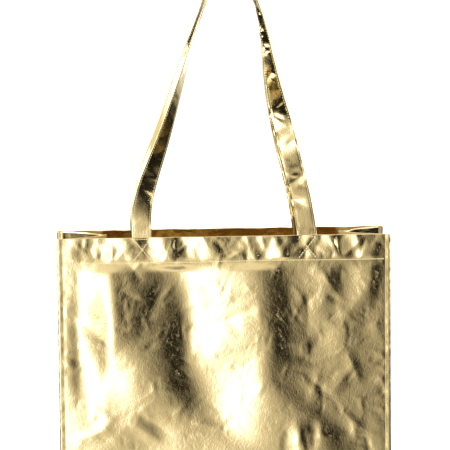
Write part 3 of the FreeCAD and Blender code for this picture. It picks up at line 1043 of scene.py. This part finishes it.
def make_surroundings():
    """A round screen that only reflections see: pale, with soft dark and bright areas."""
    radius = SURROUNDINGS_RADIUS
    turn = np.linspace(0, 2 * math.pi, 73)[:-1]
    height = np.linspace(-4.6, 3.4, 13)[:, None]
    ring_x, ring_y = radius * np.sin(turn)[None], radius * np.cos(turn)[None]
    points = np.stack(np.broadcast_arrays(ring_x, ring_y, height), axis=-1)
    screen = grid_object("surroundings", points, wrap=True)
    tone = Finish("surroundings")
    split = tone.node("ShaderNodeSeparateXYZ", None, {0: tone.place})
    x, y, z = (Value(tone, split.outputs[k]) for k in range(3))
    rise = (z - SURROUNDINGS_MIDDLE) * (1 / radius)
    level = SURROUNDINGS_LEVEL
    for sign in (1.0, -1.0):
        azimuth = (x * sign).angle_to(y * -sign)
        for at, up, reach, reach_up, amount in SURROUNDINGS_SPOTS:
            level = level + soft_spot(azimuth, rise, (at, up), (reach, reach_up)) * amount
    tint = tone.blend((1.0, 0.975, 0.92), (0.92, 0.975, 1.30), ((level - 0.9) * 0.7).clamp())
    glow = tone.scaled(tint, level.at_least(SURROUNDINGS_DARKEST))
    shader = tone.node("ShaderNodeEmission", None, {"Color": glow, "Strength": 1.0})
    tone.tree.links.new(shader.outputs[0], tone.output.inputs[0])
    screen.data.materials.append(tone.material)
    for ray in ("camera", "diffuse", "shadow", "transmission", "volume_scatter"):
        setattr(screen, f"visible_{ray}", False)


def make_stage():
    """Plain pale floor, soft boxes, the screens that the film reflects, and the camera."""
    scene = bpy.context.scene
    scene.view_settings.view_transform = "Standard"
    centre = (0.0, 0.0, 0.20)
    ring = np.linspace(0, 2 * math.pi, 97)[:-1]
    reach = np.array((0.001, 1.0, 3.0, 12.0, 60.0))
    disc = np.stack((reach[:, None] * np.cos(ring), reach[:, None] * np.sin(ring),
                     np.zeros((len(reach), len(ring)))), axis=-1)
    floor = grid_object("floor", disc, wrap=True, flip=True, caps=False)
    floor.location.z = -0.0004
    floor.visible_glossy = False
    floor.data.materials.append(make_plain_floor(colours().floor))
    world = bpy.data.worlds.new("studio")
    world.use_nodes = True
    tree = world.node_tree
    tree.nodes.clear()
    output = tree.nodes.new("ShaderNodeOutputWorld")
    seen, lit = tree.nodes.new("ShaderNodeBackground"), tree.nodes.new("ShaderNodeBackground")
    seen.inputs["Color"].default_value = (1, 1, 1, 1)
    lit.inputs["Color"].default_value = (0.45, 0.45, 0.45, 1)
    mix, path = tree.nodes.new("ShaderNodeMixShader"), tree.nodes.new("ShaderNodeLightPath")
    tree.links.new(path.outputs["Is Camera Ray"], mix.inputs[0])
    tree.links.new(lit.outputs[0], mix.inputs[1])
    tree.links.new(seen.outputs[0], mix.inputs[2])
    tree.links.new(mix.outputs[0], output.inputs[0])
    scene.world = world
    for turn in (0, 180):
        add_softbox(f"soft_left_{turn}", turn - 48, 22, 2.2, 1.1, 1.7, 3.6, centre)
        add_softbox(f"soft_right_{turn}", turn + 46, 20, 2.2, 0.8, 1.6, 3.2, centre)
    make_surroundings()
    add_softbox("soft_top", 0, 90, 2.4, 1.6, 1.2, 2.6, centre)
    camera = bpy.data.objects.new("camera", bpy.data.cameras.new("camera"))
    scene.collection.objects.link(camera)
    edge = on_panel(np.array(0.0), 0.0, np.array(BAG.height), "front")
    target = (0.0, float(edge[1]), float(edge[2]) + 0.0137)
    aim(camera, around(-5.0, 10.5, 2.1, target), target)
    camera.data.sensor_width = 36.0
    camera.data.lens = 141.0
    camera.data.clip_start = 0.05
    scene.camera = camera


# ---------------------------------------------------------------- operators and panel

class BAG_OT_finishes(bpy.types.Operator):
    """Makes the film, cloth, thread and board materials"""
    bl_idname = "gift_bag.finishes"
    bl_label = "Make the finishes"

    def execute(self, context):
        tones = colours()
        make_film("gold_film", tuple(tones.film))
        make_film("gold_strap_film", shade(tones.film, 0.97), 0.12, 0.8)
        make_cloth_back(tuple(tones.cloth_back))
        make_thread(tuple(tones.thread))
        make_board(tuple(tones.board))
        return {"FINISHED"}


class BAG_OT_panels(bpy.types.Operator):
    """Makes the front and back panels with their turned hems"""
    bl_idname = "gift_bag.panels"
    bl_label = "Make the panels"

    def execute(self, context):
        for side in SIDES:
            make_panel(side)
        return {"FINISHED"}


class BAG_OT_gussets(bpy.types.Operator):
    """Makes both tucked gussets, a half on each side of the crease"""
    bl_idname = "gift_bag.gussets"
    bl_label = "Make the gussets"

    def execute(self, context):
        for right in (0, 1):
            for side in SIDES:
                make_gusset_half(right, side)
        return {"FINISHED"}


class BAG_OT_base(bpy.types.Operator):
    """Makes the bottom panel and finishes the base board"""
    bl_idname = "gift_bag.base"
    bl_label = "Make the base"

    def execute(self, context):
        make_bottom()
        board = frame["nodes"]["base_board"]
        for slot in board.material_slots:
            slot.material = bpy.data.materials["grey_board"]
        return {"FINISHED"}


class BAG_OT_handles(bpy.types.Operator):
    """Makes both strap handles with their edge stitching"""
    bl_idname = "gift_bag.handles"
    bl_label = "Make the handles"

    def execute(self, context):
        for side in SIDES:
            make_strap(side)
        return {"FINISHED"}


class BAG_OT_sewing(bpy.types.Operator):
    """Sews the hems, side seams, handle boxes and bottom seams"""
    bl_idname = "gift_bag.sewing"
    bl_label = "Sew the seams"

    def execute(self, context):
        for side in SIDES:
            make_panel_sewing(side)
            for right in (0, 1):
                make_gusset_sewing(right, side)
        make_base_sewing()
        return {"FINISHED"}


class BAG_OT_stage(bpy.types.Operator):
    """Sets up the floor, the lights and the camera"""
    bl_idname = "gift_bag.stage"
    bl_label = "Set the stage"

    def execute(self, context):
        make_stage()
        return {"FINISHED"}


OPERATORS = (BAG_OT_finishes, BAG_OT_panels, BAG_OT_gussets, BAG_OT_base, BAG_OT_handles, BAG_OT_sewing,
             BAG_OT_stage)


class BAG_PT_panel(bpy.types.Panel):
    """Lists the bag's sizes, colours and making steps"""
    bl_label = "Gift bag"
    bl_idname = "BAG_PT_panel"
    bl_space_type = "VIEW_3D"
    bl_region_type = "UI"
    bl_category = "Gift bag"

    def draw(self, context):
        for group in (context.scene.gift_bag_sizes, context.scene.gift_bag_colours):
            for name in group.__annotations__:
                self.layout.prop(group, name)
        for operator in OPERATORS:
            self.layout.operator(operator.bl_idname)


CLASSES = (BagSizes, BagColours, *OPERATORS, BAG_PT_panel)


def register():
    for cls in CLASSES:
        bpy.utils.register_class(cls)
    bpy.types.Scene.gift_bag_sizes = PointerProperty(type=BagSizes)
    bpy.types.Scene.gift_bag_colours = PointerProperty(type=BagColours)


def unregister():
    del bpy.types.Scene.gift_bag_colours
    del bpy.types.Scene.gift_bag_sizes
    for cls in reversed(CLASSES):
        bpy.utils.unregister_class(cls)


def main():
    register()
    for operator in OPERATORS:
        group, name = operator.bl_idname.split(".")
        getattr(getattr(bpy.ops, group), name)()


if __name__ == "__main__":
    main()
